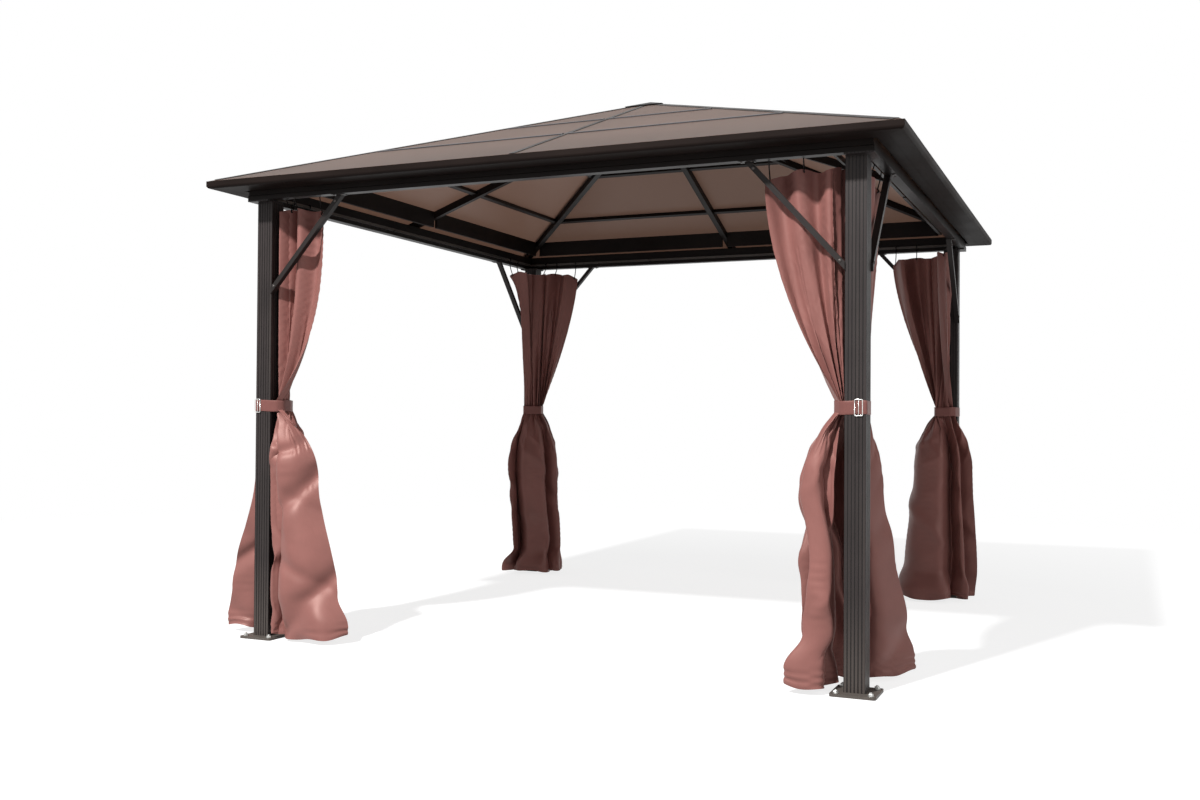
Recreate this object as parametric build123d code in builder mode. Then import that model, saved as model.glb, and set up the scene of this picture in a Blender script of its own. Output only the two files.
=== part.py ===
"""Square hardtop gazebo: four fluted posts, a ring of beams, a hipped roof of
translucent panels and four corner curtains tied back to the posts.

Millimetres, +Z up. The origin is on the ground at the middle of the square plan.
The front is the -Y side and the right is the +X side.
"""

import os
from math import atan, atan2, cos, degrees, sin, sqrt, tan

from build123d import *

# ---- plan and heights ----
post_spacing = 2610  # centre to centre, both ways
roof_overhang = 195  # post centre to the outer face of the fascia
beam_underside = 1930
eave_top = 2001  # top of the fascia's outer lip
apex_height = 2560  # where the four panel faces would meet
seat = 0.3  # running clearance between pieces that rest on each other

# ---- posts and base plates ----
post_size = 78
post_wall = 3
flute_count = 5
flute_step = 13
flute_width = 5
flute_depth = 1.2
corner_plate_thick = 6
base_size = 165
base_thick = 10
base_corner_radius = 10
bolt_distance = 124
bolt_hole_radius = 6

# ---- beams, curtain rails and braces ----
beam_offset = 70  # post centre to the outer face of the beam
beam_depth = 42
beam_wall = 2.5
beam_lip_height = 18
beam_lip_step = 3
rail_size = 12
rail_wall = 1.5
rail_rise = 20  # beam underside to the bottom of the rail
brace_reach = 400  # post centre to the middle of the brace's top end
brace_foot_height = 1530
brace_width = 25
brace_thick = 20
brace_offset = 34.5  # post centre to the middle of the brace

# ---- roof ----
panel_thick = 6
panel_lap = 1.0  # panel edge to the fascia's lip
fascia_bottom = 1970
fascia_depth = 70
fascia_wall = 2
fascia_lip = 4
fascia_edge_radius = 12
rafter_width = 30
rafter_depth = 35
web_thick = 3
web_gap = 0.5  # rafter web to the panel edge on each side
cover_thick = 2
mid_cover_width = 24
hip_cover_width = 60
purlin_width = 22
purlin_depth = 20
lower_purlin_inset = 499.5  # fascia face to the purlin's middle, in plan
purlin_row_gap = 441  # from the lower row up to the upper one, in plan
board_thick = 15
board_inset = 45  # post centre to the outer face of the closure board
hub_radius = 58
hub_depth = 70
stem_radius = 20
cap_half = 100
cap_thick = 2
cap_lift = 5  # panel face to the underside of the apex cap

# ---- curtains and tie straps ----
curtain_gap = 0.5  # cloth to post
curtain_top = 1895
curtain_waist = 1023
curtain_bottom = 24
waist_reach = 62  # post face to the far side of the tied bundle
curtain_thick = 30
curtain_reach = 310  # post face to the far edge of the widest cloth
curtain_front_edge = 16  # post centre to the outer edge of the cloth at the top
hem_flare = 125  # post centre to the outer edge of the cloth at the hem
hem_thick = 150
strap_height = 55
strap_thick = 2.5

# ---- worked out from the values above ----
post_at = post_spacing / 2
eave_half = post_at + roof_overhang  # middle of the plan to the outer face of the fascia
post_half = post_size / 2
pitch = atan((apex_height - eave_top) / eave_half)
hip_pitch = atan(tan(pitch) / sqrt(2))
beam_outer = post_at + beam_offset
beam_inner = beam_outer - beam_depth
beam_face = beam_outer - beam_lip_step  # the outer face above the lip
fascia_outer = eave_half
fascia_inner = eave_half - fascia_depth
under_panel = panel_thick + seat


def roof_z(distance):
    """Height of the panels' outer face at a plan distance from the middle."""
    return apex_height - distance * tan(pitch)


def underside_z(distance, depth):
    """Height of a face that lies a depth below the panels' outer face."""
    return roof_z(distance) - depth / cos(pitch)


beam_top = underside_z(beam_face, under_panel + rafter_depth) - seat
hip_depth = (roof_z(beam_face) - beam_top - seat) * cos(hip_pitch)
post_top = beam_underside - corner_plate_thick

sides = {"front": -90, "right": 0, "rear": 90, "left": 180}
# corner: x sign, y sign, share of the curtain's reach along x and along y
corners = {
    "front_right": (1, -1, 1.00, 0.37),
    "front_left": (-1, -1, 0.87, 0.61),
    "rear_left": (-1, 1, 0.94, 1.06),
    "rear_right": (1, 1, 1.10, 0.74),
}


def heading(angle):
    return Vector(1, 0, 0).rotate(Axis.Z, angle)


def section_plane(angle):
    """Upright plane across a side: local x points outward and local y points up."""
    outward = heading(angle)
    return Plane(origin=(0, 0, 0), x_dir=outward, z_dir=outward.cross(Vector(0, 0, 1)))


def slope_plane(angle, tilt, depth=0.0):
    """Plane on the roof's slope, from the apex: local x runs down the slope."""
    outward = heading(angle)
    down = outward * cos(tilt) - Vector(0, 0, 1) * sin(tilt)
    normal = outward * sin(tilt) + Vector(0, 0, 1) * cos(tilt)
    return Plane(origin=Vector(0, 0, apex_height) - normal * depth, x_dir=down, z_dir=normal)


def write(part, name):
    part.label = name
    export_step(part, f"parts/{name}.step")


def keep_side(angle, mitre_gap):
    """Trims the part being built to its own quarter of the plan, with mitred ends."""
    reach = 2 * eave_half
    start = mitre_gap * sqrt(2)
    with BuildSketch(Plane(origin=(0, 0, 0), x_dir=heading(angle), z_dir=(0, 0, 1))) as quarter:
        Polygon((start, 0), (start + reach, reach), (start + reach, -reach), align=None)
    extrude(quarter.sketch, amount=2 * apex_height, mode=Mode.INTERSECT)


def side_tube(name, angle, outline, wall):
    """Mitred hollow section along one side, from the points of its outline."""
    with BuildPart() as tube:
        with BuildSketch(section_plane(angle)):
            Polygon(*outline, align=None)
            if wall:
                offset(amount=-wall, mode=Mode.SUBTRACT)
        extrude(amount=eave_half, both=True)
        keep_side(angle, seat / 2)
    write(tube.part, name)


os.makedirs("parts", exist_ok=True)

# ---- posts: fluted square tube under a plate that carries the corner of two beams ----
plate_reach = beam_offset + post_half
plate_shift = (beam_offset - post_half) / 2
for corner, (sx, sy, _, _) in corners.items():
    centre = (sx * post_at, sy * post_at)
    with BuildPart() as post:
        with BuildSketch(Plane((*centre, base_thick))):
            Rectangle(post_size, post_size)
            with PolarLocations(post_half, 4):
                with GridLocations(1, flute_step, 1, flute_count):
                    Rectangle(2 * flute_depth, flute_width, mode=Mode.SUBTRACT)
            Rectangle(post_size - 2 * post_wall, post_size - 2 * post_wall, mode=Mode.SUBTRACT)
        extrude(amount=post_top - base_thick)
        with BuildSketch(Plane((centre[0] + sx * plate_shift, centre[1] + sy * plate_shift, post_top))):
            Rectangle(plate_reach, plate_reach)
        extrude(amount=corner_plate_thick)
    write(post.part, f"post_{corner}")

# ---- base plates: drilled for four ground bolts each ----
for corner, (sx, sy, _, _) in corners.items():
    with BuildPart() as base:
        with BuildSketch(Plane((sx * post_at, sy * post_at, 0))):
            RectangleRounded(base_size, base_size, base_corner_radius)
            with GridLocations(bolt_distance, bolt_distance, 2, 2):
                Circle(bolt_hole_radius, mode=Mode.SUBTRACT)
        extrude(amount=base_thick)
    write(base.part, f"base_plate_{corner}")

# ---- beams: box section whose lower lip stands proud of the face above it ----
lip_top = beam_underside + beam_lip_height
beam_outline = [
    (beam_inner, beam_underside),
    (beam_outer, beam_underside),
    (beam_outer, lip_top),
    (beam_face, lip_top + beam_lip_step),
    (beam_face, beam_top),
    (beam_inner, beam_top),
]
for side, angle in sides.items():
    side_tube(f"beam_{side}", angle, beam_outline, beam_wall)

# ---- curtain rails: one slim tube against the inner face of each beam ----
rail_bottom = beam_underside + rail_rise
rail_outline = (rail_size, rail_size)
with BuildPart() as rails:
    for angle in sides.values():
        outward = heading(angle)
        rail_at = outward * (beam_inner - rail_size / 2)
        rail_middle = Vector(rail_at.X, rail_at.Y, rail_bottom + rail_size / 2)
        rail_half = beam_inner - rail_size - seat
        with BuildSketch(Plane(origin=rail_middle, x_dir=outward, z_dir=outward.cross(Vector(0, 0, 1)))):
            Rectangle(*rail_outline)
            Rectangle(rail_size - 2 * rail_wall, rail_size - 2 * rail_wall, mode=Mode.SUBTRACT)
        extrude(amount=rail_half, both=True)
write(rails.part, "curtain_rails")

# ---- fascias: closed gutter section around the eave, its lip hiding the panel edge ----
lip_inner = fascia_outer - fascia_lip
for side, angle in sides.items():
    with BuildPart() as fascia:
        with BuildSketch(section_plane(angle)) as section:
            with BuildLine():
                Polyline(
                    (fascia_outer, fascia_bottom + fascia_edge_radius),
                    (fascia_outer, eave_top),
                    (lip_inner, eave_top),
                    (lip_inner, underside_z(lip_inner, under_panel)),
                    (fascia_inner, underside_z(fascia_inner, under_panel)),
                    (fascia_inner, fascia_bottom),
                    (fascia_outer - fascia_edge_radius, fascia_bottom),
                )
                RadiusArc(
                    (fascia_outer - fascia_edge_radius, fascia_bottom),
                    (fascia_outer, fascia_bottom + fascia_edge_radius),
                    -fascia_edge_radius,
                )
            make_face()
            with BuildLine():
                low = fascia_bottom + fascia_wall
                high = under_panel + fascia_wall
                near = fascia_inner + fascia_wall
                far = fascia_outer - fascia_edge_radius
                Polyline(
                    (near, low),
                    (far, low),
                    (far, underside_z(far, high)),
                    (near, underside_z(near, high)),
                    close=True,
                )
            make_face(mode=Mode.SUBTRACT)
        extrude(amount=eave_half, both=True)
        keep_side(angle, seat / 2)
    write(fascia.part, f"fascia_{side}")

# ---- roof panels: two sheets a side, split at the mid rafter ----
web_half = web_thick / 2 + web_gap
hip_cut = web_half * sqrt(2) + panel_thick * sin(pitch)
panel_top = (hub_radius + panel_lap) / cos(pitch)
panel_bottom = (lip_inner - panel_lap) / cos(pitch)
for side, angle in sides.items():
    with BuildPart() as panel:
        with BuildSketch(slope_plane(angle, pitch)):
            for half in (1, -1):
                corners_of_sheet = [
                    (panel_top, half * web_half),
                    (panel_bottom, half * web_half),
                    (panel_bottom, half * (panel_bottom * cos(pitch) - hip_cut)),
                    (panel_top, half * (panel_top * cos(pitch) - hip_cut)),
                ]
                Polygon(*corners_of_sheet, align=None)
        extrude(amount=-panel_thick)
    write(panel.part, f"roof_panel_{side}")

# ---- mid rafters: tube under the sheets, web between them and cover strip on top ----
rafter_half = rafter_width / 2
rafter_start = (hub_radius + seat) / cos(pitch) + (under_panel + rafter_depth) * tan(pitch)
rafter_end = (fascia_inner - seat) / cos(pitch)
for side, angle in sides.items():
    with BuildPart() as rafter:
        with BuildSketch(slope_plane(angle, pitch, under_panel)):
            with Locations(((rafter_start + rafter_end) / 2, 0)):
                Rectangle(rafter_end - rafter_start, rafter_width)
        extrude(amount=-rafter_depth)
        with BuildSketch(slope_plane(angle, pitch, under_panel)):
            with Locations(((rafter_start + rafter_end) / 2, 0)):
                Rectangle(rafter_end - rafter_start, web_thick)
        extrude(amount=under_panel + seat)
        with BuildSketch(slope_plane(angle, pitch, -seat)):
            with Locations(((rafter_start + panel_bottom) / 2, 0)):
                Rectangle(panel_bottom - rafter_start, mid_cover_width)
        extrude(amount=cover_thick)
    write(rafter.part, f"mid_rafter_{side}")

# ---- hip rafters: the same section, with a folded cover that follows both slopes ----
hip_names = {"front_right": -45, "rear_right": 45, "rear_left": 135, "front_left": -135}
fall = sin(hip_pitch)  # drop of the panel face for each unit to the side of the hip
wing = hip_cover_width / 2
web_side = web_thick / 2
hip_under = under_panel * sqrt(1 + fall**2)
hip_start = (hub_radius + seat) / cos(hip_pitch) + hip_depth * tan(hip_pitch)
hip_end = (sqrt(2) * (fascia_inner - seat) - rafter_half) / cos(hip_pitch)
cover_end = (sqrt(2) * lip_inner - wing) / cos(hip_pitch)


def mirrored(points):
    return points + [(-x, y) for x, y in reversed(points)]


cover_low = seat * 1.5
cover_high = cover_low + cover_thick
tube_points = mirrored([(rafter_half, -hip_depth), (rafter_half, -hip_under - rafter_half * fall)])
web_points = mirrored([(web_side, -hip_depth), (web_side, cover_high - web_side * fall)])
cover_points = [
    (0, cover_high),
    (wing, cover_high - wing * fall),
    (wing, cover_low - wing * fall),
    (0, cover_low),
    (-wing, cover_low - wing * fall),
    (-wing, cover_high - wing * fall),
]
for corner, angle in hip_names.items():
    slope = slope_plane(angle, hip_pitch)
    across = Plane(origin=slope.origin, x_dir=slope.y_dir, z_dir=slope.x_dir)
    with BuildPart() as hip:
        with BuildSketch(across.offset(hip_start)):
            Polygon(*tube_points, align=None)
            Polygon(*web_points, align=None)
        extrude(amount=hip_end - hip_start)
        with BuildSketch(across.offset(hip_start)):
            Polygon(*cover_points, align=None)
        extrude(amount=cover_end - hip_start)
    write(hip.part, f"hip_rafter_{corner}")

# ---- purlins: two rows of short bars between the rafters, under the sheets ----
purlin_low = under_panel + purlin_depth
lower_purlin_at = eave_half - lower_purlin_inset
for row, at in (("lower", lower_purlin_at), ("upper", lower_purlin_at - purlin_row_gap)):
    middle = at / cos(pitch)
    with BuildPart() as purlins:
        for angle in sides.values():
            with BuildSketch(slope_plane(angle, pitch, under_panel)):
                for half in (1, -1):
                    ends = []
                    for u in (middle - purlin_width / 2, middle + purlin_width / 2):
                        reach = u * cos(pitch) - purlin_low * sin(pitch)
                        ends.append((u, half * (reach - (rafter_half + seat) * sqrt(2))))
                    starts = [(u, half * (rafter_half + seat)) for u, _ in reversed(ends)]
                    Polygon(*ends, *starts, align=None)
            extrude(amount=-purlin_depth)
    write(purlins.part, f"{row}_purlins")

# ---- closure boards: close the roof over the inner side of the beams ----
board_outer = post_at - board_inset
board_inner = board_outer - board_thick
board_outline = [
    (board_inner, beam_top),
    (board_outer, beam_top),
    (board_outer, underside_z(board_outer, under_panel)),
    (board_inner, underside_z(board_inner, under_panel)),
]
for side, angle in sides.items():
    with BuildPart() as board:
        with BuildSketch(section_plane(angle)):
            Polygon(*board_outline, align=None)
        extrude(amount=eave_half, both=True)
        keep_side(angle, rafter_half + seat)
        with BuildSketch(Plane(origin=(0, 0, 0), x_dir=heading(angle), z_dir=(0, 0, 1))):
            with Locations((board_outer, 0)):
                Rectangle(4 * board_thick, rafter_width + 2 * seat)
        extrude(amount=apex_height, mode=Mode.SUBTRACT)
    write(board.part, f"closure_board_{side}")

# ---- apex cap: low pyramid of sheet on a stem, over the hub that the rafters meet ----
hub_top = underside_z(hub_radius, under_panel)
cap_skin = cap_thick / cos(pitch)
cap_rim = roof_z(cap_half) + cap_lift + cap_skin
stem_top = roof_z(stem_radius) + cap_lift + cap_skin / 2
with BuildPart() as cap:
    with BuildSketch(Plane.XY.offset(cap_rim)):
        Rectangle(2 * cap_half, 2 * cap_half)
    extrude(amount=cap_half * tan(pitch), taper=90 - degrees(pitch))
    with BuildSketch(Plane.XY.offset(cap_rim - cap_skin)):
        Rectangle(2 * cap_half, 2 * cap_half)
    extrude(amount=cap_half * tan(pitch), taper=90 - degrees(pitch), mode=Mode.SUBTRACT)
    with BuildSketch(Plane.XY.offset(hub_top - hub_depth)):
        Circle(hub_radius)
    extrude(amount=hub_depth)
    with BuildSketch(Plane.XY.offset(hub_top)):
        Circle(stem_radius)
    extrude(amount=stem_top - hub_top)
write(cap.part, "apex_cap")

# ---- knee braces: two flat bars at each post, up to the undersides of the beams ----
run = brace_reach - post_half
rise = beam_underside - brace_foot_height
lean = atan2(rise, run)
half_upright = brace_thick / cos(lean) / 2
half_level = brace_thick / sin(lean) / 2
brace_points = [
    (post_half, brace_foot_height - half_upright),
    (brace_reach + half_level, beam_underside),
    (brace_reach - half_level, beam_underside),
    (post_half, brace_foot_height + half_upright),
]
for corner, (sx, sy, _, _) in corners.items():
    with BuildPart() as braces:
        centre = Vector(sx * post_at, sy * post_at, 0)
        along_x = centre + Vector(0, sy * brace_offset, 0)
        with BuildSketch(Plane(origin=along_x, x_dir=(-sx, 0, 0), z_dir=(0, sx, 0))):
            Polygon(*brace_points, align=None)
        extrude(amount=brace_width / 2, both=True)
        along_y = centre + Vector(sx * brace_offset, 0, 0)
        with BuildSketch(Plane(origin=along_y, x_dir=(0, -sy, 0), z_dir=(-sy, 0, 0))):
            Polygon(*brace_points, align=None)
        extrude(amount=brace_width / 2, both=True)
    write(braces.part, f"braces_{corner}")

# ---- curtains: cloth bundle around the inner sides of each post, tied at the waist ----
def curtain_outline(sx, sy, reach_x, reach_y, edge, thick):
    """Bent strip in plan around the two inner faces of a post."""
    near = post_half + curtain_gap
    far_x = post_half + reach_x
    far_y = post_half + reach_y
    inner = thick - edge
    bend = max(near, inner)
    points = [
        (near, -edge),
        (far_x, -edge),
        (far_x, inner),
        (max(bend, near + thick), max(bend, near + thick)),
        (inner, far_y),
        (-edge, far_y),
        (-edge, near),
        (near, near),
    ]
    return [(sx * (post_at - x), sy * (post_at - y)) for x, y in points]


for corner, (sx, sy, share_x, share_y) in corners.items():
    reach_x, reach_y = share_x * curtain_reach, share_y * curtain_reach
    tied = curtain_outline(sx, sy, waist_reach, waist_reach, 0, waist_reach)
    levels = [
        (curtain_bottom, curtain_outline(sx, sy, reach_x, reach_y, hem_flare, hem_thick)),
        (curtain_waist - strap_height / 2, tied),
        (curtain_waist + strap_height / 2, tied),
        (curtain_top, curtain_outline(sx, sy, reach_x, reach_y, curtain_front_edge, curtain_thick)),
    ]
    with BuildPart() as curtain:
        for height, outline in levels:
            with BuildSketch(Plane.XY.offset(height)):
                Polygon(*outline, align=None)
        loft(ruled=True)
    write(curtain.part, f"curtain_{corner}")

# ---- tie straps: one band around each post and its tied bundle ----
strap_inner = post_half + seat
strap_far = post_half + waist_reach + strap_thick
with BuildPart() as straps:
    for sx, sy, _, _ in corners.values():
        band = [
            (-strap_inner, -strap_inner),
            (post_half, -strap_inner),
            (strap_far, 0),
            (strap_far, strap_far),
            (0, strap_far),
            (-strap_inner, post_half),
        ]
        placed = [(sx * (post_at - x), sy * (post_at - y)) for x, y in band]
        with BuildSketch(Plane.XY.offset(curtain_waist - strap_height / 2)):
            Polygon(*placed, align=None)
            offset(amount=strap_thick)
            Polygon(*placed, align=None, mode=Mode.SUBTRACT)
        extrude(amount=strap_height)
write(straps.part, "tie_straps")
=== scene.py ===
"""Looks of a square metal gazebo: dark powder-coated frame, brown translucent roof and four
tied-back corner curtains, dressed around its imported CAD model. Metres, +Z up."""

from math import atan2, copysign, cos, exp, pi, sin, sqrt

import bmesh
import bpy
from mathutils import Matrix, Vector


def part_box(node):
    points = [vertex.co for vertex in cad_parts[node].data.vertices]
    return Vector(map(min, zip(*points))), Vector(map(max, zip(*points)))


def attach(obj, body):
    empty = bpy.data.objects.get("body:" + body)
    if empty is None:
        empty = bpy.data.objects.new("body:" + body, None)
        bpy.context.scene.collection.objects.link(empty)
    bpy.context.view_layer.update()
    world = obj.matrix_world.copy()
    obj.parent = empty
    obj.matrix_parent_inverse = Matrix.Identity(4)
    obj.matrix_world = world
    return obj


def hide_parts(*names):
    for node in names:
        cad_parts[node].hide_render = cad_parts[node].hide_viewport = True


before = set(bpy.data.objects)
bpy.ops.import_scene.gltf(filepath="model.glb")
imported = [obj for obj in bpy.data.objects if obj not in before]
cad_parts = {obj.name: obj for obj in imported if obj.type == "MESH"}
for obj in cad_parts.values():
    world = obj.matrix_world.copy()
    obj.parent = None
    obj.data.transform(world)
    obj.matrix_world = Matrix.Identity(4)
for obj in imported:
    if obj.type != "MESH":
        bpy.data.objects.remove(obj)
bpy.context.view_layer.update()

# ---------------------------------------------------------------------------
# Posts: square aluminium extrusions with five shallow flutes on each face,
# powder-coated a dark brown-grey. Rain and dust leave faint upright streaks.
# Shade in the flutes and highlights on their edges are painted into the coat.
# ---------------------------------------------------------------------------
CORNERS = {"front_right": (1, -1), "front_left": (-1, -1), "rear_left": (-1, 1), "rear_right": (1, 1)}
SIDES = {"front": (0, -1), "right": (1, 0), "rear": (0, 1), "left": (-1, 0)}


def nodes_of(material):
    """The node maker and linker of a material's tree."""
    tree = material.node_tree

    def node(kind, **inputs):
        made = tree.nodes.new(kind)
        for key, value in inputs.items():
            if hasattr(made, key):
                setattr(made, key, value)
            else:
                made.inputs[key.replace("_", " ")].default_value = value
        return made

    return node, tree.links.new


def blank_material(name):
    """A new material with an empty Principled shader, and that shader."""
    material = bpy.data.materials.new(name)
    material.use_nodes = True
    return material, material.node_tree.nodes["Principled BSDF"]


def mix_colours(node, link, factor, first, second):
    """A colour mix whose factor comes from a socket."""
    mixed = node("ShaderNodeMix", data_type="RGBA")
    for socket, value in ((mixed.inputs[6], first), (mixed.inputs[7], second)):
        if isinstance(value, tuple):
            socket.default_value = (*value, 1)
        else:
            link(value, socket)
    link(factor, mixed.inputs[0])
    return mixed.outputs[2]


def worked_out(node, link, operation, *values):
    """A sum worked out from sockets and numbers."""
    made = node("ShaderNodeMath", operation=operation)
    for socket, value in zip(made.inputs, values):
        if isinstance(value, float):
            socket.default_value = value
        else:
            link(value, socket)
    return made.outputs[0]


def ramp(node, link, factor, low, high, to_low=0.0, to_high=1.0):
    """Maps a value's range onto another range, clamped."""
    mapped = node("ShaderNodeMapRange")
    for index, value in enumerate((low, high, to_low, to_high), start=1):
        mapped.inputs[index].default_value = value
    link(factor, mapped.inputs[0])
    return mapped.outputs[0]


def noise(node, link, place, scale, detail=3.0, stretch=(1, 1, 1)):
    """Noise in the gazebo's own metres, stretched along the axes."""
    mapping = node("ShaderNodeMapping")
    mapping.inputs["Scale"].default_value = stretch
    link(place, mapping.inputs["Vector"])
    made = node("ShaderNodeTexNoise", Scale=scale, Detail=detail)
    link(mapping.outputs[0], made.inputs["Vector"])
    return made.outputs["Fac"]


def powder_coat(name, colour, dust=0.25, roughness=0.42, shine=0.28, painted_light_lines=None):
    """Satin powder coat: fine orange peel, cloudy tone, upright streaks and dust near the ground.
    Its last argument, when given, paints lines of shade and highlight from a (shade, highlight) pair of
    sockets."""
    material, shader = blank_material(name)
    node, link = nodes_of(material)
    place = node("ShaderNodeTexCoord").outputs["Object"]
    cloud = noise(node, link, place, 3.0)
    streak = noise(node, link, place, 30.0, stretch=(1, 1, 0.04))
    peel = noise(node, link, place, 900.0, detail=1.0)
    dark = tuple(0.8 * c for c in colour)
    light = tuple(1.22 * c for c in colour)
    base = mix_colours(node, link, ramp(node, link, cloud, 0.3, 0.7), dark, light)
    dusty = (0.20, 0.17, 0.145)
    height = node("ShaderNodeSeparateXYZ")
    link(place, height.inputs[0])
    low_down = ramp(node, link, height.outputs["Z"], 0.0, 0.35, dust, 0.0)
    streaky = ramp(node, link, streak, 0.5, 0.8, 0.0, 0.4 * dust)
    coated = mix_colours(node, link, worked_out(node, link, "ADD", low_down, streaky), base, dusty)
    # Painted shade and painted highlight lines, when given.
    if painted_light_lines:
        painted_shade, painted_highlight = painted_light_lines(node, link, place)
        coated = mix_colours(node, link, painted_shade, coated, tuple(0.25 * c for c in colour))
        coated = mix_colours(node, link, painted_highlight, coated, tuple(2.6 * c for c in colour))
    link(coated, shader.inputs["Base Color"])
    link(ramp(node, link, cloud, 0.3, 0.7, roughness - 0.05, roughness + 0.08), shader.inputs["Roughness"])
    bump = node("ShaderNodeBump", Strength=0.12, Distance=0.0003)
    link(peel, bump.inputs["Height"])
    link(bump.outputs[0], shader.inputs["Normal"])
    shader.inputs["Specular IOR Level"].default_value = shine
    return material


def finish(material, *names):
    """Gives CAD nodes their material."""
    for name in names:
        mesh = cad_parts[name].data
        mesh.materials.clear()
        mesh.materials.append(material)


post_middle = (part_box("base_plate_front_right")[0].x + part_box("base_plate_front_right")[1].x) / 2
post_half = post_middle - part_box("post_front_right")[0].x
flute_step, flute_half, edge_half = 0.013, 0.0021, 0.0034


def flute_shade_and_highlight(node, link, place):
    """Painted shade in the flutes of both pairs of faces, and painted highlights on the edges beside them.
    """
    split = node("ShaderNodeSeparateXYZ")
    link(place, split.inputs[0])
    facing = node("ShaderNodeSeparateXYZ")
    link(node("ShaderNodeNewGeometry").outputs["Normal"], facing.inputs[0])
    flute_shade, edge_highlight = [], []
    for across, faces in (("X", "Y"), ("Y", "X")):
        from_plan_middle = worked_out(node, link, "ABSOLUTE", split.outputs[across])
        from_post_middle = worked_out(node, link, "SUBTRACT", from_plan_middle, post_middle)
        off_flute = worked_out(node, link, "PINGPONG", from_post_middle, flute_step / 2)
        in_flute = ramp(node, link, off_flute, flute_half, flute_half + 0.0006, 1.0, 0.0)
        past_flute = ramp(node, link, off_flute, flute_half + 0.0004, flute_half + 0.0009)
        short_of_edge = ramp(node, link, off_flute, edge_half, edge_half + 0.0006, 1.0, 0.0)
        on_edge = worked_out(node, link, "MULTIPLY", past_flute, short_of_edge)
        turned_to = worked_out(node, link, "ABSOLUTE", facing.outputs[faces])
        on_face = ramp(node, link, turned_to, 0.55, 0.7)
        flute_shade.append(worked_out(node, link, "MULTIPLY", in_flute, on_face))
        edge_highlight.append(worked_out(node, link, "MULTIPLY", on_edge, on_face))
    painted_shade = worked_out(node, link, "ADD", *flute_shade)
    painted_highlight = worked_out(node, link, "ADD", *edge_highlight)
    return ramp(node, link, painted_shade, 0.0, 1.0, 0.0, 0.85), ramp(node, link, painted_highlight, 0.0, 1.0, 0.0, 0.55)


# The posts' coat carries painted shade in the flutes and painted highlights on their edges.
post_coat_with_painted_light = powder_coat("post_powder_coat_painted_light", (0.023, 0.0180, 0.0174), shine=0.22, painted_light_lines=flute_shade_and_highlight)
finish(post_coat_with_painted_light, *(f"post_{corner}" for corner in CORNERS))

# ---------------------------------------------------------------------------
# Base plates: laser-cut steel feet, coated like the posts and scuffed by boots
# and paving. Four zinc anchor bolts with washers hold each one down.
# ---------------------------------------------------------------------------
foot_coat = powder_coat("foot_powder_coat", (0.032, 0.027, 0.025), dust=0.30, roughness=0.5)
finish(foot_coat, *(f"base_plate_{corner}" for corner in CORNERS))


def zinc(name, colour=(0.62, 0.62, 0.60), roughness=0.32):
    """Zinc-plated steel with a faint mottled bloom."""
    material, shader = blank_material(name)
    node, link = nodes_of(material)
    place = node("ShaderNodeTexCoord").outputs["Object"]
    bloom = noise(node, link, place, 140.0)
    dull = tuple(0.62 * c for c in colour)
    plated = mix_colours(node, link, ramp(node, link, bloom, 0.35, 0.75), colour, dull)
    link(plated, shader.inputs["Base Color"])
    link(ramp(node, link, bloom, 0.3, 0.8, roughness, roughness + 0.22), shader.inputs["Roughness"])
    shader.inputs["Metallic"].default_value = 1.0
    return material


def linked(name, builder):
    """An object in the scene from a finished mesh builder."""
    mesh = bpy.data.meshes.new(name)
    builder.to_mesh(mesh)
    builder.free()
    made = bpy.data.objects.new(name, mesh)
    bpy.context.scene.collection.objects.link(made)
    return made


def add_piece(name, builder, material):
    """One piece that rides on the gazebo, with its material."""
    piece = linked(name, builder)
    piece.data.materials.append(material)
    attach(piece, "root")
    return piece


def skin(builder, sections, smooth=False):
    """A closed form through sections that have as many corners each."""
    rings = [[builder.verts.new(spot) for spot in section] for section in sections]
    for low, high in zip(rings, rings[1:]):
        for k in range(len(low)):
            after = (k + 1) % len(low)
            face = builder.faces.new((low[k], low[after], high[after], high[k]))
            face.smooth = smooth
    builder.faces.new(reversed(rings[0]))
    builder.faces.new(rings[-1])


def turned(builder, profile, place, axis=Vector((0, 0, 1)), sides=24, smooth=True):
    """A turned form from (radius, height) points along an axis."""
    move = Matrix.Translation(place) @ Vector((0, 0, 1)).rotation_difference(axis).to_matrix().to_4x4()
    angles = [2 * pi * k / sides for k in range(sides)]
    skin(builder, [[move @ Vector((radius * cos(angle), radius * sin(angle), height)) for angle in angles]
                   for radius, height in profile], smooth)


def anchor_bolt(builder, place, across=0.017, head=0.0075, washer_radius=0.0125, washer=0.002):
    """A washer with a chamfered hexagon head and the bolt's end on it."""
    rim = [(washer_radius - 0.0004, 0.0), (washer_radius, 0.0004), (washer_radius, washer - 0.0004),
           (washer_radius - 0.0006, washer)]
    turned(builder, rim, place, sides=28, smooth=False)
    corner = across / sqrt(3)
    on_washer = Vector(place) + Vector((0, 0, washer))
    on_head = on_washer + Vector((0, 0, head - 0.0005))
    hexagon = [(corner, 0.0), (corner, head - 0.0016), (corner * 0.86, head)]
    bolt_end = [(corner * 0.5, 0.0), (corner * 0.5, 0.0035), (corner * 0.42, 0.0045)]
    turned(builder, hexagon, on_washer, sides=6, smooth=False)
    turned(builder, bolt_end, on_head, sides=16)


anchor_zinc = zinc("anchor_zinc")
bolt_inset = 0.0205
for corner, (sx, sy) in CORNERS.items():
    low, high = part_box(f"base_plate_{corner}")
    anchors = bmesh.new()
    for x in (low.x + bolt_inset, high.x - bolt_inset):
        for y in (low.y + bolt_inset, high.y - bolt_inset):
            anchor_bolt(anchors, (x, y, high.z + 0.0002))
    add_piece(f"anchor_bolts_{corner}", anchors, anchor_zinc)

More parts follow.
